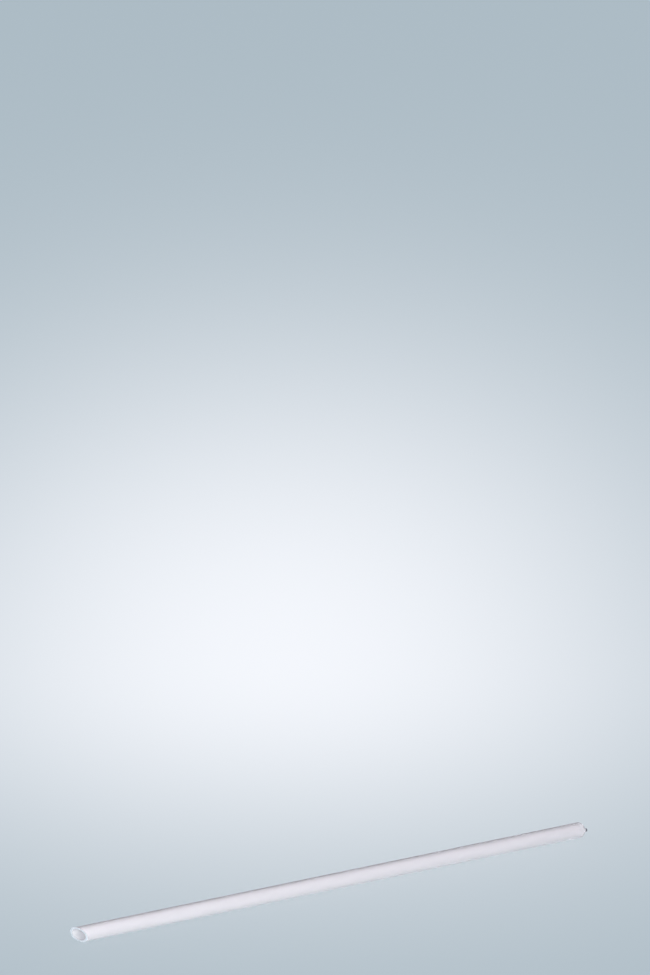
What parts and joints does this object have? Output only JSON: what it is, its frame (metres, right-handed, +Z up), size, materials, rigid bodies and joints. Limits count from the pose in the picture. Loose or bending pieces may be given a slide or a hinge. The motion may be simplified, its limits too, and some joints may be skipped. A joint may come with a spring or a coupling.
{
  "type": "capillary tube",
  "caption": "Thin-walled glass melting-point capillary, open at one snapped end and sealed round in a flame at the other.",
  "frame": {"origin": "under the middle of the tube, on the plane it lies on", "axes": "+X along the tube towards the sealed end, +Z up, and the open mouth at -X"},
  "size_m": [0.12, 0.0024, 0.0023],
  "materials": {
    "glass": "clear"
  },
  "bodies": {
    "root": {"capillary_tube": "glass"}
  },
  "joints": []
}
